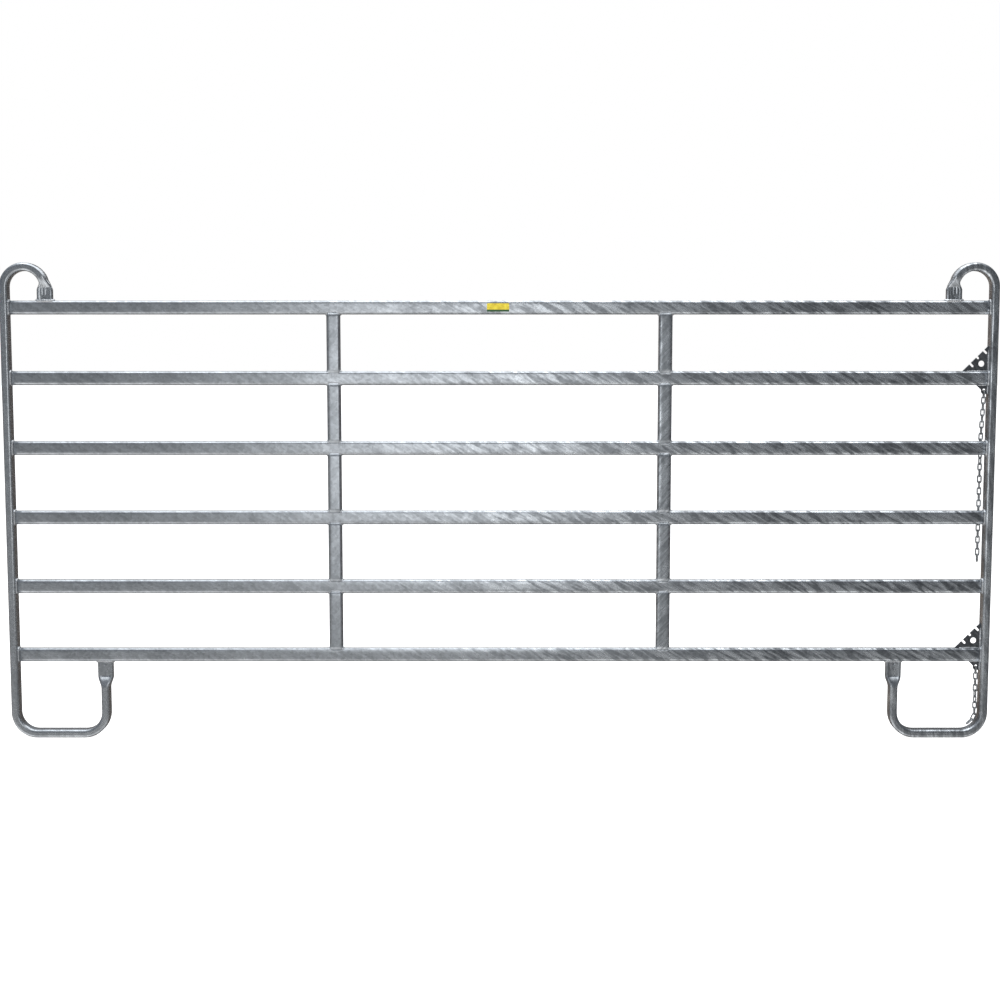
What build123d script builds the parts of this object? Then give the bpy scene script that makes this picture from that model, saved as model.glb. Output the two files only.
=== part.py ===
from build123d import *

import os
from math import asin, cos, degrees, radians, sin, sqrt

# Livestock panel gate: a galvanised steel cattle hurdle that stands on two foot loops.
# Millimetres. +X runs along the panel, +Y to the back, +Z up.
# The origin is on the ground, under the middle of the panel.

# Whole panel
panel_length = 3600
panel_height = 1740

# Tube: one oval-cornered section for rails, struts and end frames
tube_wide = 50
tube_thin = 30
tube_corner = 10
rail_wall = 1.5
frame_wall = 2
weld_gap = 0.1

# Rails, counted from the top
rail_count = 6
rail_pitch = 254
bottom_rail_z = 309

# Struts, between the rails
strut_x = 600
strut_sides = {"left": -1, "right": 1}

# End frames: foot loop, upright and hook bent from one tube, with flattened ends
upright_x = (panel_length - tube_thin) / 2
foot_bend = 80
foot_leg_x = 1452
leg_square_top = 179
leg_flat_bottom = 231
hook_bend = 73
hook_square_arc = 135
hook_flat_top = 1644
flat_across = 58
flat_deep = 20
flat_corner = 8
drain_hole = 10
drain_from_rail = 10

# Lock plates and chain lugs, in the corners between a rail and the right upright
plate_thickness = 5
lock_leg = 93
lock_slots = ((25.5, 17), (59, 10), (93, 17))
slot_width = 8
lock_hole = 22
lock_hole_in = 25
lock_hole_up = 27
lug_long = 41
lug_deep = 33
lug_slope = 18
lug_foot = 17
lug_nip = 6
lug_hole = 10
lug_hole_in = 13
lug_hole_down = 18

# Chain
wire = 5
link_inner_length = 22.7
link_inner_width = 7.5
link_play = 0.3
lug_play = 1.6
skew_limit = 30
skew_gap = 1.2
upper_segments = (4, 4, 4, 4, 4, 4, 4)
upper_leaning = 8
upper_twist_end = 17
lower_segments = (2, 6, 1, 1)
lower_turns = (90, 0, 90, 165, 225, 290, 0, 90, 0, 90)
lower_leaning = (24, 48)
rail_to_chain = 0.3

# Label plate
label_size = (80, 30)
label_thickness = 0.8
label_x = -5

# Heights and places that follow from the above
rail_z = [bottom_rail_z + rail_pitch * (rail_count - 1 - i) for i in range(rail_count)]
rail_end = upright_x - tube_thin / 2
sole_z = tube_thin / 2
foot_bend_z = sole_z + foot_bend
hook_z = panel_height - hook_bend - tube_thin / 2
hook_x = upright_x - hook_bend
hook_flat_x = hook_x - hook_bend
foot_drain = (foot_leg_x, bottom_rail_z - tube_wide / 2 - drain_from_rail)
hook_drain = (hook_flat_x, rail_z[0] + tube_wide / 2 + drain_from_rail)
toe_start_x = upright_x - foot_bend
toe_box = foot_bend + tube_wide
catch_rails = {"upper": rail_z[1], "lower": rail_z[5]}
lug_hole_x = rail_end - lug_hole_in
link_bend = (link_inner_width + wire) / 2
link_reach = link_inner_length + wire
link_straight = link_reach - 2 * link_bend
link_pitch = link_inner_length - link_play
upper_links = sum(upper_segments)
upper_behind = tube_thin / 2 + rail_to_chain + link_bend + wire / 2
upper_lean = degrees(asin(upper_behind / ((upper_leaning - 2) * link_pitch + link_reach)))

os.makedirs("parts", exist_ok=True)


def rounded(plane, across, deep, corner):
    """A filled rounded rectangle on a plane."""
    with BuildSketch(plane) as face:
        RectangleRounded(across, deep, corner)
    return face.sketch


def tube(plane, across, deep, corner, wall):
    """The same rectangle with the tube's bore taken out."""
    with BuildSketch(plane) as face:
        RectangleRounded(across, deep, corner)
        RectangleRounded(across - 2 * wall, deep - 2 * wall, corner - wall, mode=Mode.SUBTRACT)
    return face.sketch


def rail_plane(x, z):
    """A plane across a rail: its own x is +Y and its own y is +Z."""
    return Plane((x, 0, z), x_dir=(0, 1, 0), z_dir=(1, 0, 0))


def cope(z):
    """Cut the part being built back from the rail at this height, leaving a weld's gap."""
    gap = 2 * weld_gap
    outline = rounded(rail_plane(-rail_end, z), tube_thin + gap, tube_wide + gap, tube_corner + weld_gap)
    extrude(outline, amount=2 * rail_end, mode=Mode.SUBTRACT)


def save(part, name):
    """Name a piece and write it."""
    part.label = name
    export_step(part, f"parts/{name}.step")


# Rails
for i, z in enumerate(rail_z):
    with BuildPart() as rail:
        section = tube(rail_plane(-rail_end, z), tube_thin, tube_wide, tube_corner, rail_wall)
        extrude(section, amount=2 * rail_end)
    save(rail.part, f"rail_{i + 1}")

# Struts: a short length of tube in each gap, coped to the rails above and below it
for side, sign in strut_sides.items():
    for i in range(rail_count - 1):
        foot_z = rail_z[i + 1]
        with BuildPart() as strut:
            foot = Plane((sign * strut_x, 0, foot_z))
            section = tube(foot, tube_wide, tube_thin, tube_corner, rail_wall)
            extrude(section, amount=rail_pitch)
            cope(foot_z)
            cope(foot_z + rail_pitch)
        save(strut.part, f"strut_{side}_{i + 1}")


def flattened(side, x, z, turn, flat, inset):
    """A section of a flattening end: turn is its tilt in degrees, flat goes from 0 to 1."""
    tilt = side * radians(turn)
    plane = Plane((side * x, 0, z), x_dir=(cos(tilt), 0, sin(tilt)), z_dir=(sin(tilt), 0, -cos(tilt)))
    across = tube_thin + (flat_across - tube_thin) * flat
    deep = tube_wide + (flat_deep - tube_wide) * flat
    corner = tube_corner + (flat_corner - tube_corner) * flat
    return rounded(plane, across - 2 * inset, deep - 2 * inset, corner - inset)


def hook_end(side, inset):
    """Three sections down the last of the hook's bend, from the square tube to the flat one."""
    middle = (hook_square_arc + 180) / 2
    sections = []
    for arc, flat in ((hook_square_arc, 0), (middle, 0.5)):
        x = hook_x + hook_bend * cos(radians(arc))
        z = hook_z + hook_bend * sin(radians(arc))
        sections.append(flattened(side, x, z, arc - 180, flat, inset))
    sections.append(flattened(side, hook_flat_x, hook_flat_top, 0, 1, inset))
    return sections


def leg_end(side, inset):
    """Two sections up the foot's inner leg, from the square tube to the flat one."""
    low = flattened(side, foot_leg_x, leg_square_top, 0, 0, inset)
    high = flattened(side, foot_leg_x, leg_flat_bottom, 0, 1, inset)
    return [low, high]


# End frames
for name, side in (("left", -1), ("right", 1)):
    with BuildPart() as end_frame:
        with BuildLine(Plane.XZ) as centreline:
            leg = Line((side * foot_leg_x, leg_square_top), (side * foot_leg_x, foot_bend_z))
            heel = JernArc(leg @ 1, (0, -1), foot_bend, side * 90)
            sole = Line(heel @ 1, (side * (upright_x - foot_bend), sole_z))
            toe = JernArc(sole @ 1, (side, 0), foot_bend, side * 90)
            upright = Line(toe @ 1, (side * upright_x, hook_z))
            JernArc(upright @ 1, (0, 1), hook_bend, side * hook_square_arc)
        start = Plane((side * foot_leg_x, 0, leg_square_top), x_dir=(1, 0, 0), z_dir=(0, 0, -1))
        section = tube(start, tube_thin, tube_wide, tube_corner, frame_wall)
        sweep(section, path=centreline.line)
        for inset, mode in ((0, Mode.ADD), (frame_wall, Mode.SUBTRACT)):
            loft(hook_end(side, inset), mode=mode)
            loft(leg_end(side, inset), mode=mode)
        for x, low, high in (
            (hook_flat_x, rail_z[0] + tube_corner, hook_flat_top),
            (foot_leg_x, leg_flat_bottom, bottom_rail_z - tube_corner),
        ):
            section = tube(Plane((side * x, 0, low)), flat_across, flat_deep, flat_corner, frame_wall)
            extrude(section, amount=high - low)
        cope(rail_z[0])
        cope(bottom_rail_z)
        for x, z in (foot_drain, hook_drain):
            with BuildSketch(Plane((side * x, 0, z), x_dir=(1, 0, 0), z_dir=(0, -1, 0))):
                Circle(drain_hole / 2)
            extrude(amount=flat_deep, mode=Mode.SUBTRACT)
    # The outer bend of the foot is a solid of its own, so that a collision shape can follow it
    corner_x = side * (toe_start_x + toe_box / 2)
    corner_z = foot_bend_z - toe_box / 2
    toe_space = Pos(corner_x, 0, corner_z) * Box(toe_box, 2 * tube_wide, toe_box)
    rest_of_frame = (end_frame.part - toe_space).solids()
    toe = (end_frame.part & toe_space).solids()
    save(Compound([*rest_of_frame, *toe]), f"end_frame_{name}")

# Lock plates: a triangle over the rail, with three slots in its long edge and a round hole
for name, z in catch_rails.items():
    corner_z = z + tube_wide / 2
    with BuildPart() as lock_plate:
        with BuildSketch(Plane.XZ) as outline:
            with BuildLine():
                Polyline(
                    (rail_end, corner_z),
                    (rail_end, corner_z + lock_leg),
                    (rail_end - lock_leg, corner_z),
                    close=True,
                )
            make_face()
            with Locations((rail_end - lock_hole_in, corner_z + lock_hole_up)):
                Circle(lock_hole / 2, mode=Mode.SUBTRACT)
            for along, depth in lock_slots:
                mouth = (rail_end - along * sqrt(0.5), corner_z + lock_leg - along * sqrt(0.5))
                with Locations(Location((*mouth, 0), (0, 0, -45))):
                    SlotOverall(2 * depth, slot_width, mode=Mode.SUBTRACT)
        extrude(amount=plate_thickness / 2, both=True)
    save(lock_plate.part, f"lock_plate_{name}")

# Chain lugs: a small plate under the same two rails, with the hole that carries the chain
for name, z in catch_rails.items():
    under = z - tube_wide / 2
    with BuildPart() as lug:
        with BuildSketch(Plane.XZ):
            with BuildLine():
                Polyline(
                    (rail_end, under),
                    (rail_end - lug_long, under),
                    (rail_end - lug_long + lug_slope, under - lug_slope),
                    (rail_end - lug_foot - lug_nip, under - lug_deep + lug_nip),
                    (rail_end - lug_foot, under - lug_deep),
                    (rail_end, under - lug_deep),
                    close=True,
                )
            make_face()
            with Locations((lug_hole_x, under - lug_hole_down)):
                Circle(lug_hole / 2, mode=Mode.SUBTRACT)
        extrude(amount=plate_thickness / 2, both=True)
    save(lug.part, f"chain_lug_{name}")

# Label plate, glued to the front of the top rail
with BuildPart() as label_plate:
    face = Plane((label_x, -tube_thin / 2, rail_z[0]), x_dir=(1, 0, 0), z_dir=(0, -1, 0))
    with BuildSketch(face):
        Rectangle(*label_size)
    extrude(amount=label_thickness)
save(label_plate.part, "label_plate")

# One chain link, upright in the XZ plane, centred on its middle
with BuildPart() as link:
    with BuildLine(Plane.XZ) as oval:
        right = Line((link_bend, -link_straight / 2), (link_bend, link_straight / 2))
        top = JernArc(right @ 1, (0, 1), link_bend, 180)
        left = Line(top @ 1, (-link_bend, -link_straight / 2))
        JernArc(left @ 1, (0, -1), link_bend, 180)
    with BuildSketch(Plane((link_bend, 0, -link_straight / 2))) as round_wire:
        Circle(wire / 2)
    sweep(round_wire.sketch, path=oval.line)


def overlap_of(turn, next_turn):
    """How far two links reach into each other: a wire and some play, more where they aren't square."""
    skew = abs(90 - (next_turn - turn) % 180)
    return wire + link_play + skew_gap * (skew / skew_limit) ** 2


def hang(top, turns, leans, swings):
    """Hang the links of one chain, each from the one before.

    top is the middle of the first link's upper bend. A link is turned about its own length, then
    leans to the back and swings to the left. Where the lean or the swing changes, the lower link
    pivots about the upper link's wire if that wire lies along the pivot, and else about its own.
    """
    places = []
    pivots = []
    down = None
    for n, (turn, lean, swing) in enumerate(zip(turns, leans, swings)):
        new_down = Vector(0, 0, -1).rotate(Axis.Y, swing).rotate(Axis.X, lean)
        if down is None:
            pivots.append(top)
        else:
            wire_way = Vector(cos(radians(turns[n - 1])), sin(radians(turns[n - 1])), 0)
            bottom = top + down * link_reach
            change = down.cross(new_down)
            own = change.length > 0.001 and abs(change.normalized().dot(wire_way)) < 0.5
            top = bottom - (down if own else new_down) * overlap_of(turns[n - 1], turn)
            pivots.append(top if own else bottom)
        down = new_down
        places.append(Location(top + down * (link_reach / 2), (lean, swing, turn)))
    return places, pivots


def save_chain(name, places, segments):
    """Write one chain as short runs of links, each run a piece of its own."""
    first = 0
    for number, count in enumerate(segments, 1):
        with BuildPart() as run:
            for place in places[first:first + count]:
                with Locations(place):
                    add(link.part)
        save(run.part, f"chain_{name}_{number}")
        first += count


# Upper chain: leans back over the third rail, then hangs behind the panel, with a quarter turn
hole_z = {name: z - tube_wide / 2 - lug_hole_down - lug_play for name, z in catch_rails.items()}
upper_turns = []
for n in range(upper_links):
    twist = 90 * min(max((n + 1 - upper_leaning) / (upper_twist_end - upper_leaning), 0), 1)
    upper_turns.append(90 * (n + 1) + twist)
upper_leans = [0] + [upper_lean] * (upper_leaning - 1) + [0] * (upper_links - upper_leaning)
upper_places, upper_pivots = hang(
    Vector(lug_hole_x, 0, hole_z["upper"]), upper_turns, upper_leans, [0] * upper_links
)
save_chain("upper", upper_places, upper_segments)

# Lower chain: hangs inside the foot loop, and its last two links turn along the loop's inner bend
lower_swings = [0] * (len(lower_turns) - len(lower_leaning)) + list(lower_leaning)
lower_places, lower_pivots = hang(
    Vector(lug_hole_x, 0, hole_z["lower"]), lower_turns, [0] * len(lower_turns), lower_swings
)
save_chain("lower", lower_places, lower_segments)
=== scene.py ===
# %% [markdown]
# # A livestock panel gate
# A free-standing hurdle for cattle, 3.6 m long, all of hot-dip galvanised tube: six rails between
# two bent end frames, with short struts between the rails, and plates and chains to lock one
# panel to the next. The solid model already holds every size, place and joint, so it is loaded
# first and serves as a fixed frame. It could be dressed with better materials alone, but its tubes
# have plain ends and its joints have no welds, so most of its nodes are replaced here by surfaces
# that stand in exactly the same places.

# %% Load the frame
from math import asin, cos, degrees, pi, radians, sin

import bmesh
import bpy
import numpy as np
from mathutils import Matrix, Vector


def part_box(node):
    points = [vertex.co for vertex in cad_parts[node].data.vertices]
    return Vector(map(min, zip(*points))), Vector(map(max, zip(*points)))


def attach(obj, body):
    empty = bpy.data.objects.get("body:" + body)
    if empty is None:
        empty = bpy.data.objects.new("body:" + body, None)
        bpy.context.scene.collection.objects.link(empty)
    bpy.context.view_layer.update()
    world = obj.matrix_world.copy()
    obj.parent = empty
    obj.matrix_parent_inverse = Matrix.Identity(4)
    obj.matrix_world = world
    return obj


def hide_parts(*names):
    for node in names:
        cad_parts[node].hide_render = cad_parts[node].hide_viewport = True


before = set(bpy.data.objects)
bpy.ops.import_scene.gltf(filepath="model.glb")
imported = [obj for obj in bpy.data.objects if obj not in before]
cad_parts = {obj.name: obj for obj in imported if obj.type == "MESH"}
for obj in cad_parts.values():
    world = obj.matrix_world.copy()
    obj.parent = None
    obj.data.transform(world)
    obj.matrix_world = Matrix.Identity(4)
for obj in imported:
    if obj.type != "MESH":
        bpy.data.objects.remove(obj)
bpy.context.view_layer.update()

# %% [markdown]
# ## The camera
# The panel is seen square on, from a height between its two upper rails, with the camera tipped
# down a few degrees. It could be framed with a shifted lens, which keeps uprights parallel, but
# they lean in slightly here, so the camera is simply tipped.

# %% Camera
camera_data = bpy.data.cameras.new("camera")
camera_data.lens = 59.45
tipped_down = 5.817
camera = bpy.data.objects.new("camera", camera_data)
camera.location = (0.002, -6.0, 1.492)
camera.rotation_euler = (radians(90 - tipped_down), 0, 0)
bpy.context.scene.collection.objects.link(camera)
bpy.context.scene.camera = camera
bpy.context.scene.view_settings.view_transform = "Standard"
print("camera at", tuple(camera.location))

# %% [markdown]
# ## Surroundings and light
# Zinc is a metal, so nearly all of its tone is a reflection. A plain white room would make it
# look like white plastic. So the background is white only where the camera sees it directly, and
# what the metal reflects is a hall: bright overhead and on the ground in front, dull grey at eye
# level, brown behind, and darker to the right than to the left. The Light Path node tells the two
# apart.


# %% World
def hall_ramp(stops):
    """A colour ramp over the height of a direction, from straight down at 0 to straight up at 1."""
    ramp = hall.new("ShaderNodeValToRGB")
    for element, (place, colour) in zip(ramp.color_ramp.elements, (stops[0], stops[-1])):
        element.position, element.color = place, (*colour, 1)
    for place, colour in stops[1:-1]:
        ramp.color_ramp.elements.new(place).color = (*colour, 1)
    wire_up.new(height.outputs["Result"], ramp.inputs["Fac"])
    return ramp.outputs["Color"]


world = bpy.data.worlds.new("hall")
bpy.context.scene.world = world
world.use_nodes = True
hall, wire_up = world.node_tree.nodes, world.node_tree.links
direction = hall.new("ShaderNodeTexCoord")
split = hall.new("ShaderNodeSeparateXYZ")
height = hall.new("ShaderNodeMapRange")
height.inputs["From Min"].default_value = -1
backward = hall.new("ShaderNodeMapRange")
backward.inputs["From Min"].default_value = -0.3
backward.inputs["From Max"].default_value = 0.4
wire_up.new(direction.outputs["Generated"], split.inputs["Vector"])
wire_up.new(split.outputs["Z"], height.inputs["Value"])
wire_up.new(split.outputs["Y"], backward.inputs["Value"])
front = hall_ramp(
    (
        (0.00, (0.16, 0.145, 0.13)),
        (0.06, (0.90, 0.88, 0.86)),
        (0.20, (0.95, 0.94, 0.93)),
        (0.32, (0.30, 0.29, 0.28)),
        (0.46, (0.20, 0.205, 0.21)),
        (0.50, (0.115, 0.125, 0.135)),
        (0.62, (0.13, 0.14, 0.155)),
        (0.86, (0.16, 0.17, 0.19)),
        (0.95, (1.0, 1.03, 1.06)),
    )
)
back = hall_ramp(
    (
        (0.00, (0.06, 0.05, 0.042)),
        (0.42, (0.15, 0.122, 0.10)),
        (0.50, (0.12, 0.095, 0.08)),
        (0.60, (0.13, 0.115, 0.105)),
        (0.80, (0.36, 0.38, 0.41)),
        (0.93, (1.0, 1.03, 1.06)),
    )
)
side = hall.new("ShaderNodeMapRange")
side.inputs["From Min"].default_value, side.inputs["From Max"].default_value = -0.25, 0.30
side.inputs["To Min"].default_value, side.inputs["To Max"].default_value = 1.15, 0.55
wire_up.new(split.outputs["X"], side.inputs["Value"])
blend = hall.new("ShaderNodeMixRGB")
wire_up.new(backward.outputs["Result"], blend.inputs["Fac"])
wire_up.new(front, blend.inputs["Color1"])
wire_up.new(back, blend.inputs["Color2"])
mirrored = hall.new("ShaderNodeBackground")
wire_up.new(blend.outputs["Color"], mirrored.inputs["Color"])
wire_up.new(side.outputs["Result"], mirrored.inputs["Strength"])
seen = hall["Background"]
seen.inputs["Color"].default_value = (1, 1, 1, 1)
which_ray = hall.new("ShaderNodeLightPath")
choose = hall.new("ShaderNodeMixShader")
wire_up.new(which_ray.outputs["Is Camera Ray"], choose.inputs["Fac"])
wire_up.new(mirrored.outputs["Background"], choose.inputs[1])
wire_up.new(seen.outputs["Background"], choose.inputs[2])
wire_up.new(choose.outputs["Shader"], hall["World Output"].inputs["Surface"])
print("world made with", len(hall), "nodes")

# %% [markdown]
# Three soft boxes light the panel: in front, behind and overhead. The front one is narrower than
# the panel, so the middle of each rail mirrors it and the ends fall off into the grey of the
# hall. A sun lamp would light all of a rail alike. The camera sees none of the boxes.


# %% Lights
def soft_box(name, place, turn, wide, high, watts):
    """A rectangular lamp at a place, turned by three angles in degrees, unseen by the camera."""
    data = bpy.data.lights.new(name, "AREA")
    data.shape = "RECTANGLE"
    data.size, data.size_y, data.energy = wide, high, watts
    lamp = bpy.data.objects.new(name, data)
    lamp.location = place
    lamp.rotation_euler = [radians(angle) for angle in turn]
    lamp.visible_camera = False
    bpy.context.scene.collection.objects.link(lamp)


soft_box("front_box", (-0.38, -3.4, 1.15), (90, 0, 0), 1.7, 2.1, 13)
soft_box("back_box", (0.4, 3.6, 4.4), (-50, 0, 0), 3.0, 2.0, 40)
soft_box("top_box", (0, -0.8, 4.6), (0, 0, 0), 6.0, 4.0, 90)
print("lamps:", [lamp.name for lamp in bpy.data.lights])

# %% [markdown]
# ## Meshes from grids
# Every tube, bead and link here is one idea: a closed profile carried along a path. The points
# form a grid, one row for each step of the path and one column for each point of the profile,
# and numpy works out the whole grid at once. Blender could sweep a curve with a bevel object
# instead, but a grid lets the profile change along the way, as it does where a tube is pressed
# flat.


# %% Grid to mesh
def skin(name, grids, looped=False):
    """Make one object from grids of points, each of them rows by columns by three.

    Four neighbours make a face, and each row closes on itself. A looped grid's last row meets its
    first, and any other has a flat face over each end. If the volume that the faces enclose comes
    out negative, they face inwards, and are turned over.
    """
    faces = []
    first = 0
    for grid in grids:
        rows, columns = grid.shape[:2]
        row = np.arange(rows if looped else rows - 1)[:, None]
        column = np.arange(columns)[None, :]
        here, there = first + row * columns, first + (row + 1) % rows * columns
        after = (column + 1) % columns
        quads = np.stack([here + column, here + after, there + after, there + column], axis=-1)
        faces += quads.reshape(-1, 4).tolist()
        if not looped:
            last = first + (rows - 1) * columns
            faces.append(list(range(first + columns - 1, first - 1, -1)))
            faces.append(list(range(last, last + columns)))
        first += rows * columns
    mesh = bpy.data.meshes.new(name)
    points = np.concatenate([grid.reshape(-1, 3) for grid in grids])
    mesh.from_pydata(points.tolist(), [], faces)
    mesh.polygons.foreach_set("use_smooth", np.array([len(face) == 4 for face in faces]))
    shell = bmesh.new()
    shell.from_mesh(mesh)
    if shell.calc_volume(signed=True) < 0:
        bmesh.ops.reverse_faces(shell, faces=shell.faces)
        shell.to_mesh(mesh)
    shell.free()
    piece = bpy.data.objects.new(name, mesh)
    bpy.context.scene.collection.objects.link(piece)
    return piece


def finish(piece, material, slot, body, *nodes):
    """Give a piece its material, hang it on its body, and let it stand for CAD nodes. The slot is
    not used.
    """
    piece.data.materials.clear()
    piece.data.materials.append(material)
    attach(piece, body)
    if nodes:
        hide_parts(*nodes)


# %% [markdown]
# ## The tube's profile
# All of the panel's tube is one section, 50 by 30 mm with 10 mm corners. A rounded rectangle
# could be drawn as a curve, but here it is a small table of rules for each column: which of the
# four corner centres the point belongs to, sliding evenly along a flat from one to the next, and
# which way the surface faces there. With the half sizes and the corner radius given row by row,
# the same columns serve for the square tube, the flat ends and the welds round them.


# %% Rounded rectangle
def around(corner_steps, long_steps, short_steps):
    """The columns of a rounded rectangle: corner centre across and deep, facing across and deep.

    On a corner the facing turns through a quarter circle. On a flat the facing stays, and the
    corner centre slides from one corner's sign to the next one's.
    """
    corners = ((1, 1), (-1, 1), (-1, -1), (1, -1))
    table = []
    for k, corner in enumerate(corners):
        angle = np.radians(90 * k + np.linspace(0, 90, corner_steps + 1))
        held = [np.full_like(angle, sign) for sign in corner]
        table.append([*held, np.cos(angle), np.sin(angle)])
        following = corners[(k + 1) % 4]
        slide = np.linspace(0, 1, (long_steps if k % 2 == 0 else short_steps) + 1)[1:-1]
        facing = radians(90 * (k + 1))
        table.append(
            [
                corner[0] + (following[0] - corner[0]) * slide,
                corner[1] + (following[1] - corner[1]) * slide,
                np.full_like(slide, cos(facing)),
                np.full_like(slide, sin(facing)),
            ]
        )
    return np.concatenate(table, axis=1)


def rounded(columns, half_across, half_deep, corner):
    """Distances of the profile's points from its middle, across and deep.

    Each is the corner centre, which is the half size less the radius, plus the radius times the
    facing.
    """
    centre_across, centre_deep, face_across, face_deep = columns
    across = centre_across * (half_across - corner) + corner * face_across
    deep = centre_deep * (half_deep - corner) + corner * face_deep
    return across, deep


def carry(path, across_way, deep_way, across, deep):
    """Carry a profile along a path.

    Each point is the path's point plus its distances along the two ways there.
    """
    sideways = across[..., None] * across_way[:, None] + deep[..., None] * deep_way[:, None]
    return path[:, None] + sideways


tube_wide, tube_thin, tube_corner = 0.050, 0.030, 0.010
plain_columns = around(6, 4, 4)
print("columns round a tube:", plain_columns.shape[1])

# %% [markdown]
# ## Hot-dip zinc
# The dip leaves a skin of zinc that froze as it ran off: crystals a centimetre across, and long
# feathery streaks that lie at a slant to the tube. It is nearly all metal, so the streaks show
# mostly as lighter and darker, smoother and rougher metal. An image would have to be wrapped on
# every piece, so noise on Object coordinates is used, which needs no unwrapping and runs on from
# one piece to the next. The Mapping node is of the Texture kind, which turns first and stretches
# after: the noise comes out long in the direction that the streaks lean.


# %% Zinc
metal_share = 0.92
streak_size, cloud_size, grain_size = 0.013, 0.16, 0.0022
crystals_per_metre = 110
faint_until, strong_from, faintest = -0.5, 1.1, 0.16


def zinc(name, dark, light, lean, streak, rough):
    """Zinc of a name, between two colours, with streaks that lean by degrees and show by a share.

    The streaks are faint at the panel's left end and grow to their full strength at its right end.
    The colour ramp is read at the sum of three parts: the streaks, a slow cloud, and a flat tone
    for each crystal.
    """
    material = bpy.data.materials.new(name)
    material.use_nodes = True
    nodes, links = material.node_tree.nodes, material.node_tree.links
    shader = nodes["Principled BSDF"]
    shader.inputs["Metallic"].default_value = metal_share
    where = nodes.new("ShaderNodeTexCoord")

    def spread(size, detail, scale, turn):
        """Noise of a size in metres, stretched by a scale after a turn in degrees about Y."""
        mapping = nodes.new("ShaderNodeMapping")
        mapping.vector_type = "TEXTURE"
        mapping.inputs["Rotation"].default_value = (0, radians(turn), 0)
        mapping.inputs["Scale"].default_value = scale
        noise = nodes.new("ShaderNodeTexNoise")
        noise.inputs["Scale"].default_value = 1 / size
        noise.inputs["Detail"].default_value = detail
        noise.inputs["Distortion"].default_value = 0.5
        links.new(where.outputs["Object"], mapping.inputs["Vector"])
        links.new(mapping.outputs["Vector"], noise.inputs["Vector"])
        return noise.outputs["Fac"]

    def sharpen(value, *limits):
        """A value taken from between the first two limits to between the other two."""
        reach = nodes.new("ShaderNodeMapRange")
        for socket, number in zip(("From Min", "From Max", "To Min", "To Max"), limits):
            reach.inputs[socket].default_value = number
        links.new(value, reach.inputs["Value"])
        return reach.outputs["Result"]

    def combine(kind, one, other):
        """The sum or product of two values, of which the second may be a plain number."""
        node = nodes.new("ShaderNodeMath")
        node.operation = kind
        links.new(one, node.inputs[0])
        if isinstance(other, float):
            node.inputs[1].default_value = other
        else:
            links.new(other, node.inputs[1])
        return node.outputs["Value"]

    ends = nodes.new("ShaderNodeSeparateXYZ")
    links.new(where.outputs["Object"], ends.inputs["Vector"])
    growth = sharpen(ends.outputs["X"], faint_until, strong_from, faintest, 1)
    feather = spread(streak_size, 4, (6, 3, 1), lean)
    cloud = spread(cloud_size, 3, (1, 1, 1), 0)
    cells = nodes.new("ShaderNodeTexVoronoi")
    cells.inputs["Scale"].default_value = crystals_per_metre
    links.new(where.outputs["Object"], cells.inputs["Vector"])
    crystal = nodes.new("ShaderNodeSeparateColor")
    links.new(cells.outputs["Color"], crystal.inputs["Color"])
    streaks = combine("MULTIPLY", sharpen(feather, 0.42, 0.63, -streak * 0.55, streak), growth)
    clouded = combine("ADD", streaks, sharpen(cloud, 0.3, 0.7, -0.08, 0.08))
    tone = combine("ADD", clouded, sharpen(crystal.outputs["Red"], 0, 1, 0.40, 0.60))
    ramp = nodes.new("ShaderNodeValToRGB")
    ramp.color_ramp.elements[0].color = (*dark, 1)
    ramp.color_ramp.elements[1].color = (*light, 1)
    links.new(tone, ramp.inputs["Fac"])
    links.new(ramp.outputs["Color"], shader.inputs["Base Color"])
    links.new(sharpen(tone, 0.1, 0.9, rough + 0.08, rough - 0.06), shader.inputs["Roughness"])
    grain = spread(grain_size, 2, (1, 1, 1), 0)
    bump = nodes.new("ShaderNodeBump")
    bump.inputs["Strength"].default_value = 0.22
    bump.inputs["Distance"].default_value = 0.0006
    links.new(combine("ADD", combine("MULTIPLY", grain, 0.25), feather), bump.inputs["Height"])
    links.new(bump.outputs["Normal"], shader.inputs["Normal"])
    return material


rail_zinc = zinc("rail_zinc", (0.17, 0.185, 0.205), (0.88, 0.93, 0.98), 30, 0.62, 0.31)
strut_zinc = zinc("strut_zinc", (0.20, 0.22, 0.24), (0.80, 0.85, 0.90), -50, 0.46, 0.31)
frame_zinc = zinc("frame_zinc", (0.22, 0.24, 0.26), (0.88, 0.93, 0.98), 82, 0.42, 0.27)
plate_zinc = zinc("plate_zinc", (0.06, 0.066, 0.072), (0.30, 0.32, 0.34), 60, 0.30, 0.42)
weld_zinc = zinc("weld_zinc", (0.46, 0.48, 0.51), (0.96, 0.98, 1.0), 0, 0.30, 0.36)
chain_zinc = zinc("chain_zinc", (0.22, 0.23, 0.24), (0.60, 0.63, 0.65), 20, 0.24, 0.38)
print("finishes:", [made.name for made in bpy.data.materials if made.name.endswith("_zinc")])

# %% [markdown]
# ## Rails
# Six lengths of tube lie on edge between the end frames. A cube with a bevel would do for one, but
# the swept profile keeps the corners round and even. Each rail takes its height from its CAD
# node, and its ends reach half a millimetre into the uprights so that no slit of light shows.

# %% Six rails
rail_names = [f"rail_{n}" for n in range(1, 7)]
rail_heights = [sum((low.z, high.z)) / 2 for low, high in map(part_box, rail_names)]
rail_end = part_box("rail_1")[1].x
tuck_in = 0.0005
way_x, way_y, way_z = np.eye(3)


def straight(start, end, steps):
    """Evenly spaced points from one place to another."""
    return np.linspace(start, end, steps + 1)


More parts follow.
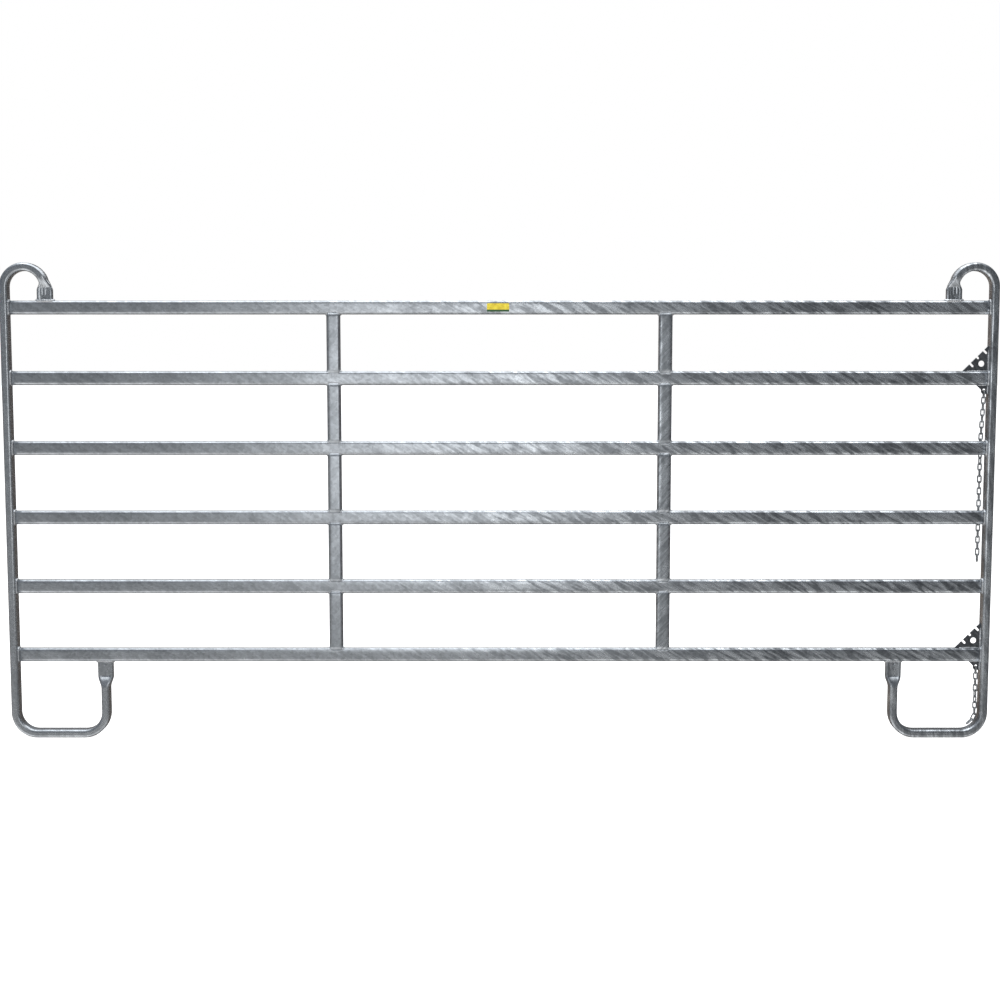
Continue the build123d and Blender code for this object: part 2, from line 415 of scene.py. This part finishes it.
for name, z in zip(rail_names, rail_heights):
    path = straight((-rail_end - tuck_in, 0, z), (rail_end + tuck_in, 0, z), 120)
    ways = np.ones((len(path), 1))
    across, deep = rounded(plain_columns, tube_thin / 2, tube_wide / 2, tube_corner)
    grid = carry(path, ways * way_y, ways * way_z, across[None], deep[None])
    finish(skin(f"galvanised_{name}", [grid]), rail_zinc, "galvanised_steel", "panel", name)
print("rail heights:", [round(z, 3) for z in rail_heights])

# %% [markdown]
# ## Struts
# A strut is a short upright length of the same tube between two rails, turned flat side to the
# front. Its ends are cut to a saddle that fits the rail's rounded edge. Cutting the tube with a
# Boolean would make the saddle, but the rails hide what is inside them, so the plain tube is
# run ten millimetres in, to where the rail's corner begins, and the weld bead covers the meeting
# line.

# %% Ten struts
strut_names = [f"strut_{side}_{n}" for side in ("left", "right") for n in range(1, 6)]
corner_start = tube_wide / 2 - tube_corner
strut_places = []
for name in strut_names:
    low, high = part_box(name)
    number = int(name[-1])
    x = (low.x + high.x) / 2
    foot, head = rail_heights[number] + corner_start, rail_heights[number - 1] - corner_start
    path = straight((x, 0, foot), (x, 0, head), 12)
    ways = np.ones((len(path), 1))
    across, deep = rounded(plain_columns, tube_wide / 2, tube_thin / 2, tube_corner)
    grid = carry(path, ways * way_x, ways * way_y, across[None], deep[None])
    finish(skin(f"galvanised_{name}", [grid]), strut_zinc, "galvanised_steel", "panel", name)
    strut_places.append((x, rail_heights[number], rail_heights[number - 1]))
print(len(strut_places), "struts")

# %% [markdown]
# ## End frames
# Each end frame is one tube. It starts flat against the bottom rail, runs down the foot's inner
# leg, round the foot, up the outside and over the hook, and ends flat on the top rail. A curve
# with a bevel profile could follow it, but could not press its ends flat, so the path is walked
# in numpy and the profile changes with the distance walked.


# %% Walking the path
def walk(x, z, heading, runs):
    """Points, headings and distances along straight runs and arcs laid end to end, in the XZ plane.

    Each run is a length, a turn in degrees and a step. The heading changes evenly with distance. On
    a straight run the place moves on along it, and on an arc it moves by the radius times the
    change in the heading's sine, and less the change in its cosine.
    """
    xs, zs, headings, distances = ([np.array([value])] for value in (x, z, radians(heading), 0.0))
    for length, turn, step in runs:
        gone = np.linspace(0, length, max(1, round(length / step)) + 1)[1:]
        start = headings[-1][-1]
        facing = start + radians(turn) * gone / length
        if turn:
            radius = length / radians(turn)
            dx = radius * (np.sin(facing) - sin(start))
            dz = -radius * (np.cos(facing) - cos(start))
        else:
            dx, dz = gone * cos(start), gone * sin(start)
        xs.append(xs[-1][-1] + dx)
        zs.append(zs[-1][-1] + dz)
        headings.append(facing)
        distances.append(distances[-1][-1] + gone)
    return map(np.concatenate, (xs, zs, headings, distances))


foot_bend, hook_bend = 0.080, 0.073
leg_x, upright_x = 1.452, 1.785
flat_tuck_in = 0.004
leg_top = rail_heights[5] - tube_wide / 2 + flat_tuck_in
hook_low = rail_heights[0] + tube_wide / 2 - flat_tuck_in
sole = tube_thin / 2
bend_z, hook_z = sole + foot_bend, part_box("end_frame_right")[1].z - hook_bend - tube_thin / 2
frame_runs = (
    (leg_top - bend_z, 0, 0.0025),
    (foot_bend * pi / 2, 90, 0.006),
    (upright_x - leg_x - 2 * foot_bend, 0, 0.03),
    (foot_bend * pi / 2, 90, 0.006),
    (hook_z - bend_z, 0, 0.04),
    (hook_bend * pi, 180, 0.003),
    (hook_z - hook_low, 0, 0.0025),
)
xs, zs, headings, walked = walk(leg_x, leg_top, -90, frame_runs)
print("end frame path:", len(xs), "rows,", round(walked[-1], 3), "m")

# %% [markdown]
# Pressing a tube flat spreads it sideways: 30 by 50 mm becomes 58 by 20 mm with about the same
# way round. The spread eases in and out, but the front starts back at once, which leaves the
# crease across the end of the flat. The middle of a pressed tube caves in a little, and over the
# hook's flat the walls have buckled into a few upright flutes.


# %% Pressed ends
def ease(t):
    """A share from 0 to 1 with gentle ends: three times its square less twice its cube."""
    t = np.clip(t, 0, 1)
    return t * t * (3 - 2 * t)


def slope_in(t):
    """A share that starts gently and ends in a crease: one less a quarter turn's cosine."""
    return 1 - np.cos(np.clip(t, 0, 1) * pi / 2)


flat_across, flat_deep, flat_corner = 0.058, 0.020, 0.008
leg_crease = 0.060
hook_crease = walked[-1] - (hook_z - hook_low)
press_run = 0.042


def reached(first, last):
    """How far the path has come between two distances walked, as a share that may pass 0 or 1."""
    return (walked - first) / (last - first)


leg_spread = ease(reached(leg_crease + press_run, leg_crease - 0.004))
hook_spread = ease(reached(hook_crease - 0.026, hook_crease + 0.012))
leg_press = slope_in(reached(leg_crease + press_run, leg_crease))
hook_press = slope_in(reached(hook_crease - press_run, hook_crease))
spread_share = (leg_spread + hook_spread)[:, None]
press_share = (leg_press + hook_press)[:, None]
flat_columns = around(5, 22, 4)
half_across = tube_thin / 2 + (flat_across - tube_thin) / 2 * spread_share
half_deep = tube_wide / 2 + (flat_deep - tube_wide) / 2 * press_share
corner = tube_corner + (flat_corner - tube_corner) * spread_share
across, deep = rounded(flat_columns, half_across, half_deep, corner)

# The depth loses a share that grows with the press's cube and is greatest in the middle. The
# flutes add a cosine of the place across, which fades to the sides and away from the crease.
cave_share = 0.26
flute_height, flute_rise, flute_end, flute_fade = 0.0012, 0.006, 0.034, 0.016
flute_waves, flute_phase = 3.5, 0.6
sideways = flat_columns[0][None]
caving = 1 - cave_share * press_share**3 * (1 - sideways**4)
past_crease = (walked - hook_crease)[:, None]
flute_share = ease(1 + past_crease / flute_rise) * ease((flute_end - past_crease) / flute_fade)
waves = np.cos(flute_waves * pi * sideways + flute_phase)
flutes = flute_height * flute_share * waves * (1 - sideways**2)
deep = deep * caving + np.sign(deep) * flutes
print("pressed ends:", len(walked), "rows of", flat_columns.shape[1], "columns")

# %% [markdown]
# Left and right frames are mirror images. A Mirror modifier would need its own object for each
# half of the panel, so the grid's X is simply negated, and the skin turns its faces outwards again.
# A drain hole in the front of each flat lets the zinc run out of the tube. It is bored with a
# Boolean, applied at once, so that the cutter does not stay in the scene.


# %% Frames and drain holes
def circle(x, z, radius, steps):
    """Points on a circle: the centre plus the radius times the cosine and the sine."""
    turn = np.linspace(0, 2 * pi, steps, endpoint=False)
    return np.stack([x + radius * np.cos(turn), z + radius * np.sin(turn)], axis=1)


def bore(piece, x, z, radius, y_from, y_to):
    """Cut a round hole along Y into a piece's mesh, by a cylinder whose rows are two circles."""
    rim = np.insert(circle(x, z, radius, 24), 1, 0, axis=1)
    cutter = skin("cutter", [np.stack([rim + way_y * y_from, rim + way_y * y_to])])
    cut = piece.modifiers.new("bore", "BOOLEAN")
    cut.operation, cut.object, cut.solver = "DIFFERENCE", cutter, "EXACT"
    evaluated = piece.evaluated_get(bpy.context.evaluated_depsgraph_get())
    bored = bpy.data.meshes.new_from_object(evaluated)
    piece.modifiers.clear()
    piece.data = bored
    bpy.data.objects.remove(cutter)


middle = np.stack([xs, np.zeros_like(xs), zs], axis=1)
inward = np.stack([-np.sin(headings), np.zeros_like(xs), np.cos(headings)], axis=1)
sideway = np.ones((len(xs), 1)) * way_y
right_grid = carry(middle, inward, sideway, across, deep)
hook_x = upright_x - 2 * hook_bend
drain_radius, drain_from_middle = 0.005, 0.035
drain_depth = (-0.03, -0.003)
for side, sign in (("left", -1), ("right", 1)):
    end_frame = skin(f"galvanised_frame_{side}", [right_grid * (sign, 1, 1)])
    leg_drain, hook_drain = rail_heights[5] - drain_from_middle, rail_heights[0] + drain_from_middle
    bore(end_frame, sign * leg_x, leg_drain, drain_radius, *drain_depth)
    bore(end_frame, sign * hook_x, hook_drain, drain_radius, *drain_depth)
    finish(end_frame, frame_zinc, "galvanised_steel", "panel", f"end_frame_{side}")
    print(end_frame.name, len(end_frame.data.polygons), "faces")

# %% [markdown]
# ## Weld beads
# Every joint of the panel is closed by a weld, which the solid model leaves out. A bead is a
# rope of metal that froze ripple by ripple. It could be bump on the tubes, but a bead changes
# the outline of the joint, so it is a ring of its own: a small circle carried round the section
# of the tube that it closes, swelling and thinning on the way.


# %% Beads
waver = np.random.default_rng(11)


def rope(path, out_way, along_way, thick, ripples):
    """A bead: a circle of changing radius carried along a path.

    The radius is the given one, times one plus a sine for the ripples and two slower sines for
    the unsteady hand, all of random phases. Each point lies the cosine of its angle along one
    way and the sine along the other.
    """
    along = np.linspace(0, 2 * pi, len(path), endpoint=False)
    phases = waver.uniform(0, 2 * pi, 3)
    swell = 1 + 0.14 * np.sin(ripples * along + phases[0]) + 0.12 * np.sin(3 * along + phases[1])
    swell += 0.08 * np.sin(7 * along + phases[2])
    turn = np.linspace(0, 2 * pi, 10, endpoint=False)
    radius = (thick * swell)[:, None]
    return carry(path, out_way, along_way, radius * np.cos(turn), radius * np.sin(turn))


ring_columns = around(8, 22, 12)
_, _, face_across, face_deep = ring_columns
ring_none, ring_ones = np.zeros_like(face_across), np.ones_like(face_across)
rail_bead, rail_ripples, standing_ripples = 0.0036, 34, 30

rail_rings = []
for z in rail_heights:
    for sign in (-1, 1):
        y, up = rounded(ring_columns, tube_thin / 2, tube_wide / 2, tube_corner)
        path = np.stack([ring_ones * sign * (rail_end - tuck_in), y, z + up], axis=1)
        out_way = np.stack([ring_none, face_across, face_deep], axis=1)
        along_way = ring_ones[:, None] * way_x
        rail_rings.append(rope(path, out_way, along_way, ring_ones * rail_bead, rail_ripples))
finish(skin("weld_rail_ends", rail_rings, looped=True), weld_zinc, "galvanised_steel", "panel")
print(len(rail_rings), "beads at the rails' ends")

# %% [markdown]
# Where a tube stands on a rail, its bead follows the rail's rounded edge down on both faces: a
# saddle. Its height over the rail's middle is half the rail on the flat, and round the corner the
# corner's centre plus the root of the radius squared less the distance from that centre squared.


# %% Saddle beads
def saddle(y):
    """The rail's surface over its middle, at a distance from the middle of its thickness."""
    beyond = np.clip(np.abs(y) - (tube_thin / 2 - tube_corner), 0, tube_corner)
    return tube_wide / 2 - tube_corner + np.sqrt(tube_corner**2 - beyond**2)


def standing_ring(x, z, side, size, thick_side, thick_front):
    """The bead round a tube that stands over a rail (side 1) or hangs under it (side -1).

    The size is half the tube's width, half its depth and its corner radius. The bead is thickest
    where it faces sideways: the front's thickness plus the rest times the facing's square.
    """
    dx, dy = rounded(ring_columns, *size)
    path = np.stack([x + dx, dy, z + side * saddle(dy)], axis=1)
    out_way = np.stack([face_across, face_deep, ring_none], axis=1)
    thick = thick_front + (thick_side - thick_front) * face_across**2
    return rope(path, out_way, ring_ones[:, None] * way_z, thick, standing_ripples)


strut_size = tube_wide / 2, tube_thin / 2, tube_corner
strut_bead = 0.0034, 0.0011
strut_rings = []
for x, lower_rail, upper_rail in strut_places:
    strut_rings.append(standing_ring(x, lower_rail, 1, strut_size, *strut_bead))
    strut_rings.append(standing_ring(x, upper_rail, -1, strut_size, *strut_bead))
finish(skin("weld_struts", strut_rings, looped=True), weld_zinc, "galvanised_steel", "panel")

flat_size = flat_across / 2, flat_deep / 2, flat_corner
leg_bead, hook_bead = (0.0046, 0.0038), (0.0056, 0.0056)
flat_rings = []
for sign in (-1, 1):
    flat_rings.append(standing_ring(sign * leg_x, rail_heights[5], -1, flat_size, *leg_bead))
    flat_rings.append(standing_ring(sign * hook_x, rail_heights[0], 1, flat_size, *hook_bead))
finish(skin("weld_flats", flat_rings, looped=True), weld_zinc, "galvanised_steel", "panel")
print(len(strut_rings), "strut beads,", len(flat_rings), "beads at the pressed ends")

# %% [markdown]
# ## Lock plates and chain lugs
# Plates five millimetres thick, sheared and punched. The lock plate has three slots that catch a
# link of the next panel's chain, and a hole for a pin. A grid is no help with slots and holes, so
# each plate is a flat curve: Blender fills between its outer line and its holes, its extrusion
# gives the thickness, and a small bevel rounds the edges, with an offset that keeps the size. It
# is turned into a mesh at once, and stood up by swapping coordinates.


# %% Plates
def plate(name, outlines, y_middle, thick, edge):
    """A plate from closed lines in the XZ plane, the outer one first, each an array of points."""
    drawing = bpy.data.curves.new(name, "CURVE")
    drawing.dimensions, drawing.fill_mode = "2D", "BOTH"
    drawing.extrude, drawing.bevel_depth, drawing.offset = thick / 2 - edge, edge, -edge
    drawing.bevel_resolution = 2
    for points in outlines:
        line = drawing.splines.new("POLY")
        line.points.add(len(points) - 1)
        flat = np.pad(points, ((0, 0), (0, 2)))
        flat[:, 3] = 1
        line.points.foreach_set("co", flat.ravel())
        line.use_cyclic_u = True
    drawn = bpy.data.objects.new(name, drawing)
    bpy.context.scene.collection.objects.link(drawn)
    evaluated = drawn.evaluated_get(bpy.context.evaluated_depsgraph_get())
    mesh = bpy.data.meshes.new_from_object(evaluated)
    bpy.data.objects.remove(drawn)
    points = np.empty(len(mesh.vertices) * 3)
    mesh.vertices.foreach_get("co", points)
    x, up, deep = points.reshape(-1, 3).T
    mesh.vertices.foreach_set("co", np.stack([x, y_middle - deep, up], axis=1).ravel())
    shell = bmesh.new()
    shell.from_mesh(mesh)
    bmesh.ops.remove_doubles(shell, verts=shell.verts, dist=1e-6)
    bmesh.ops.recalc_face_normals(shell, faces=shell.faces)
    shell.to_mesh(mesh)
    shell.free()
    mesh.polygons.foreach_set("use_smooth", np.zeros(len(mesh.polygons), bool))
    mesh.name = name
    piece = bpy.data.objects.new(name, mesh)
    bpy.context.scene.collection.objects.link(piece)
    return piece


plate_thick, plate_edge = 0.005, 0.0005
slot_half = 0.004
slots = ((0.0255, 0.017), (0.059, 0.010), (0.093, 0.017))
pin_in, pin_up, pin_radius = 0.025, 0.027, 0.011
lug_hole_in, lug_hole_down, lug_hole_radius = 0.013, 0.018, 0.005
lug_outline = np.array(
    [[0, 0], [-0.041, 0], [-0.023, -0.018], [-0.023, -0.027], [-0.017, -0.033], [0, -0.033]]
)
down_edge, into_plate = np.array([-1, -1]) * 0.5**0.5, np.array([1, -1]) * 0.5**0.5
half_turn = np.linspace(0, pi, 9)[:, None]
slot_end = slot_half * (into_plate * np.sin(half_turn) - down_edge * np.cos(half_turn))
for name in ("upper", "lower"):
    low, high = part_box(f"lock_plate_{name}")
    top = np.array([high.x, high.z])
    line = [[[high.x, low.z]], [top]]
    for along, depth in slots:
        mouth = top + down_edge * along
        line.append([mouth - down_edge * slot_half])
        line.append(mouth + into_plate * (depth - slot_half) + slot_end)
        line.append([mouth + down_edge * slot_half])
    line.append([[low.x, low.z]])
    outlines = [np.concatenate(line), circle(high.x - pin_in, low.z + pin_up, pin_radius, 28)]
    lock_plate = plate(f"slotted_plate_{name}", outlines, 0, plate_thick, plate_edge)
    finish(lock_plate, plate_zinc, "galvanised_plate", "panel", f"lock_plate_{name}")

    low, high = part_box(f"chain_lug_{name}")
    eye = circle(high.x - lug_hole_in, high.z - lug_hole_down, lug_hole_radius, 20)
    outlines = [lug_outline + (high.x, high.z), eye]
    lug = plate(f"chain_eye_{name}", outlines, 0, plate_thick, plate_edge)
    finish(lug, plate_zinc, "galvanised_plate", "panel", f"chain_lug_{name}")
    print(name, "plate faces:", len(lock_plate.data.polygons), "lug faces:", len(lug.data.polygons))

# %% [markdown]
# A plate's edges are welded to the rail and to the upright from both sides. Here a bead has two
# ends, so it is an open rope that thins out at each of them. The plates could be sunk in the
# tubes without a bead, but a line without one looks glued.


# %% Beads along the plates
def seam(start, end, thick):
    """Two straight beads between two places in XZ: one in front of the plate and one behind it.

    The thickness is multiplied by the root of a sine, taken over nearly a half turn, so the bead
    is round at its ends.
    """
    made = []
    for side in (-1, 1):
        y = side * plate_thick / 2
        path = straight((start[0], y, start[1]), (end[0], y, end[1]), 40)
        run = path[-1] - path[0]
        upward = np.cross(run / np.linalg.norm(run), way_y)
        ends = np.sin(np.linspace(0.25, pi - 0.25, len(path))) ** 0.5
        ways = np.ones((len(path), 1))
        made.append(rope(path, ways * way_y, ways * upward, thick * ends, 12))
    return made


plate_seams = []
for z in (rail_heights[1], rail_heights[5]):
    over, under = z + tube_wide / 2, z - tube_wide / 2
    plate_seams += seam((rail_end - 0.004, over), (rail_end - 0.078, over), 0.0032)
    plate_seams += seam((rail_end, over + 0.004), (rail_end, over + 0.074), 0.0044)
    plate_seams += seam((rail_end - 0.004, under), (rail_end - 0.036, under), 0.0034)
    plate_seams += seam((rail_end, under - 0.003), (rail_end, under - 0.032), 0.0046)
finish(skin("weld_plates", plate_seams), weld_zinc, "galvanised_plate", "panel")
print(len(plate_seams), "beads along plates and lugs")

# %% [markdown]
# ## Chains
# Two lengths of 5 mm chain hang from the lugs: one long, which leans back over the third rail and
# hangs behind the panel with a quarter turn in it, and one short, whose last links turn along the
# foot's bend. Every link is the same: a wire bent to an oval and welded on one side. A stretched
# torus is quicker, but its wire would be thicker round the bends than along the sides.

# %% One link
wire, inner_length, inner_width = 0.005, 0.0227, 0.0075
link_bend = (inner_width + wire) / 2
link_reach = inner_length + wire
bend_turn = np.linspace(0, pi, 13)
side_run = np.linspace(0.5, -0.5, 8)[1:-1]
on_side, on_bend = np.ones_like(side_run), np.ones_like(bend_turn)
link_angle = np.concatenate([bend_turn, pi * on_side, pi + bend_turn, 2 * pi * on_side])
link_rise = np.concatenate([0.5 * on_bend, side_run, -0.5 * on_bend, -side_run])
link_rise *= link_reach - 2 * link_bend
link_face = np.stack([np.cos(link_angle), 0 * link_angle, np.sin(link_angle)], axis=1)
link_line = link_bend * link_face + link_rise[:, None] * way_z


def link_surface():
    """One link, upright in the XZ plane: a circle of the wire's radius carried round an oval.

    The oval is two half circles and two straight sides. On one side, where the wire's ends were
    welded, the radius swells by a sixth, as a bell curve of the height.
    """
    joint = np.exp(-((link_line[:, 2] / 0.0018) ** 2)) * (link_face[:, 0] > 0.99)
    radius = (wire / 2 * (1 + joint / 6))[:, None]
    turn = np.linspace(0, 2 * pi, 10, endpoint=False)
    sideways = np.ones((len(link_line), 1)) * way_y
    return carry(link_line, link_face, sideways, radius * np.cos(turn), radius * np.sin(turn))


one_link = link_surface()
print("one link:", one_link.shape[0] * one_link.shape[1], "faces")

# %% [markdown]
# One link copied along a curve would not hook into its neighbours, so each link is placed from
# the one before it, by the rule that the solid model uses, and each run of links rides on its
# own body.


# %% Hanging the links
def turned(axis, angle):
    """The matrix that turns by an angle in degrees about X (0), Y (1) or Z (2)."""
    c, s = cos(radians(angle)), sin(radians(angle))
    a, b = (axis + 1) % 3, (axis + 2) % 3
    matrix = np.eye(3)
    matrix[a, a], matrix[a, b], matrix[b, a], matrix[b, b] = c, -s, s, c
    return matrix


link_play, skew_gap, skew_limit = 0.0003, 0.0012, 30


def overlap_of(turn, next_turn):
    """How far two links reach into each other.

    It is a wire and some play, and more where they aren't square: a gap times the square of the
    angle that is missing, over a limit.
    """
    skew = abs(90 - (next_turn - turn) % 180)
    return wire + link_play + skew_gap * (skew / skew_limit) ** 2


def hang(top, turns, leans, swings):
    """Grids of the links of one chain, from the middle of the first link's upper bend.

    A link is turned about its own length, then swings to the left and leans to the back. Where
    the direction changes, the lower link pivots about the upper one's wire if that wire lies
    along the pivot, and else about its own.
    """
    grids = []
    down = None
    for n, (turn, lean, swing) in enumerate(zip(turns, leans, swings)):
        pose = turned(0, lean) @ turned(1, swing)
        new_down = pose @ (0, 0, -1)
        if down is not None:
            last_turn = turns[n - 1]
            wire_way = np.array([cos(radians(last_turn)), sin(radians(last_turn)), 0])
            change = np.cross(down, new_down)
            size = np.linalg.norm(change)
            own = size > 0.001 and abs(change @ wire_way) < 0.5 * size
            overlap = (down if own else new_down) * overlap_of(last_turn, turn)
            top = top + down * link_reach - overlap
        down = new_down
        grids.append(one_link @ (pose @ turned(2, turn)).T + top + down * link_reach / 2)
    return grids


def hang_runs(name, grids, segments):
    """One piece for each run of links, riding on its own body and standing for its own node."""
    first = 0
    for number, count in enumerate(segments, 1):
        run = skin(f"{name}_links_{number}", grids[first : first + count], looped=True)
        body, node = f"{name}_chain_run_{number}", f"chain_{name}_{number}"
        finish(run, chain_zinc, "zinc_chain", body, node)
        first += count
    print(name, "chain ends at a height of", round(grids[-1][..., 2].min(), 4))


link_pitch = inner_length - link_play
lug_play, rail_to_chain = 0.0016, 0.0003
first_heights = [rail_heights[n] - tube_wide / 2 - lug_hole_down - lug_play for n in (1, 5)]
upper_top, lower_top = (np.array([rail_end - lug_hole_in, 0, z]) for z in first_heights)
upper_links, leaning_links, twist_end = 28, 8, 17
behind_rail = tube_thin / 2 + rail_to_chain + link_bend + wire / 2
lean_back = degrees(asin(behind_rail / ((leaning_links - 2) * link_pitch + link_reach)))
upper_turns = []
for number in range(1, upper_links + 1):
    twisted = min(max((number - leaning_links) / (twist_end - leaning_links), 0), 1)
    upper_turns.append(90 * number + 90 * twisted)
upper_leans = [0] + [lean_back] * (leaning_links - 1) + [0] * (upper_links - leaning_links)
hang_runs("upper", hang(upper_top, upper_turns, upper_leans, [0] * upper_links), (4,) * 7)

lower_turns = (90, 0, 90, 165, 225, 290, 0, 90, 0, 90)
lower_swings = (0,) * 8 + (24, 48)
lower_leans = (0,) * len(lower_turns)
hang_runs("lower", hang(lower_top, lower_turns, lower_leans, lower_swings), (2, 6, 1, 1))

# %% [markdown]
# ## Label
# A small plastic label on the top rail, yellow with a dark green band along its foot and no
# lettering. It is drawn as a plate with rounded corners, and its colours change over at a height,
# read from Object coordinates. An image would be one more file to carry.

# %% Label
label_low, label_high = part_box("label_plate")
label_round = 0.003
corner_turn = np.linspace(0, pi / 2, 6)
label_left, label_right = label_low.x + label_round, label_high.x - label_round
label_foot, label_head = label_low.z + label_round, label_high.z - label_round
label_centres = (
    (label_right, label_head),
    (label_left, label_head),
    (label_left, label_foot),
    (label_right, label_foot),
)
label_line = []
for k, centre in enumerate(label_centres):
    angle = corner_turn + k * pi / 2
    label_line.append(centre + label_round * np.stack([np.cos(angle), np.sin(angle)], axis=1))
label_middle, label_thick = (label_low.y + label_high.y) / 2, label_high.y - label_low.y
label = plate("label", [np.concatenate(label_line)], label_middle, label_thick, 0.0002)
label_paint = bpy.data.materials.new("label_paint")
label_paint.use_nodes = True
paint, paint_links = label_paint.node_tree.nodes, label_paint.node_tree.links
where = paint.new("ShaderNodeTexCoord")
parts = paint.new("ShaderNodeSeparateXYZ")
band = paint.new("ShaderNodeMapRange")
band_top, band_blur = label_low.z + 0.0075, 0.0003
band.inputs["From Min"].default_value = band_top - band_blur
band.inputs["From Max"].default_value = band_top + band_blur
fading = paint.new("ShaderNodeTexNoise")
fading.inputs["Scale"].default_value = 60
yellow = paint.new("ShaderNodeValToRGB")
faded, fresh = yellow.color_ramp.elements
faded.position, faded.color = 0.35, (0.70, 0.52, 0.03, 1)
fresh.position, fresh.color = 0.65, (0.92, 0.76, 0.06, 1)
colours = paint.new("ShaderNodeMixRGB")
colours.inputs["Color1"].default_value = (0.03, 0.10, 0.03, 1)
paint_links.new(where.outputs["Object"], parts.inputs["Vector"])
paint_links.new(where.outputs["Object"], fading.inputs["Vector"])
paint_links.new(parts.outputs["Z"], band.inputs["Value"])
paint_links.new(band.outputs["Result"], colours.inputs["Fac"])
paint_links.new(fading.outputs["Fac"], yellow.inputs["Fac"])
paint_links.new(yellow.outputs["Color"], colours.inputs["Color2"])
paint_links.new(colours.outputs["Color"], paint["Principled BSDF"].inputs["Base Color"])
paint["Principled BSDF"].inputs["Roughness"].default_value = 0.45
finish(label, label_paint, "label_yellow", "panel", "label_plate")
print("label:", len(label.data.polygons), "faces")

# %% [markdown]
# ## Floor
# A plain pale floor. It glows, so that it is as white far off as it is near by, and hardly a
# shadow is left on it. The metal does not mirror it: with so large a white sheet under the panel
# every lower edge would glow, where a real yard is dull and brown.

# %% Floor
floor_mesh = bpy.data.meshes.new("floor")
floor_corners = [(-30, -12, 0), (30, -12, 0), (30, 40, 0), (-30, 40, 0)]
floor_mesh.from_pydata(floor_corners, [], [(0, 1, 2, 3)])
floor = bpy.data.objects.new("floor", floor_mesh)
bpy.context.scene.collection.objects.link(floor)
floor_paint = bpy.data.materials.new("floor_paint")
floor_paint.use_nodes = True
floor_shader = floor_paint.node_tree.nodes["Principled BSDF"]
floor_shader.inputs["Base Color"].default_value = (0.93, 0.93, 0.93, 1)
floor_shader.inputs["Roughness"].default_value = 0.95
floor_shader.inputs["Specular IOR Level"].default_value = 0.1
floor_shader.inputs["Emission Color"].default_value = (1, 1, 1, 1)
floor_shader.inputs["Emission Strength"].default_value = 0.9
floor_mesh.materials.append(floor_paint)
floor.visible_glossy = False
print("floor made")
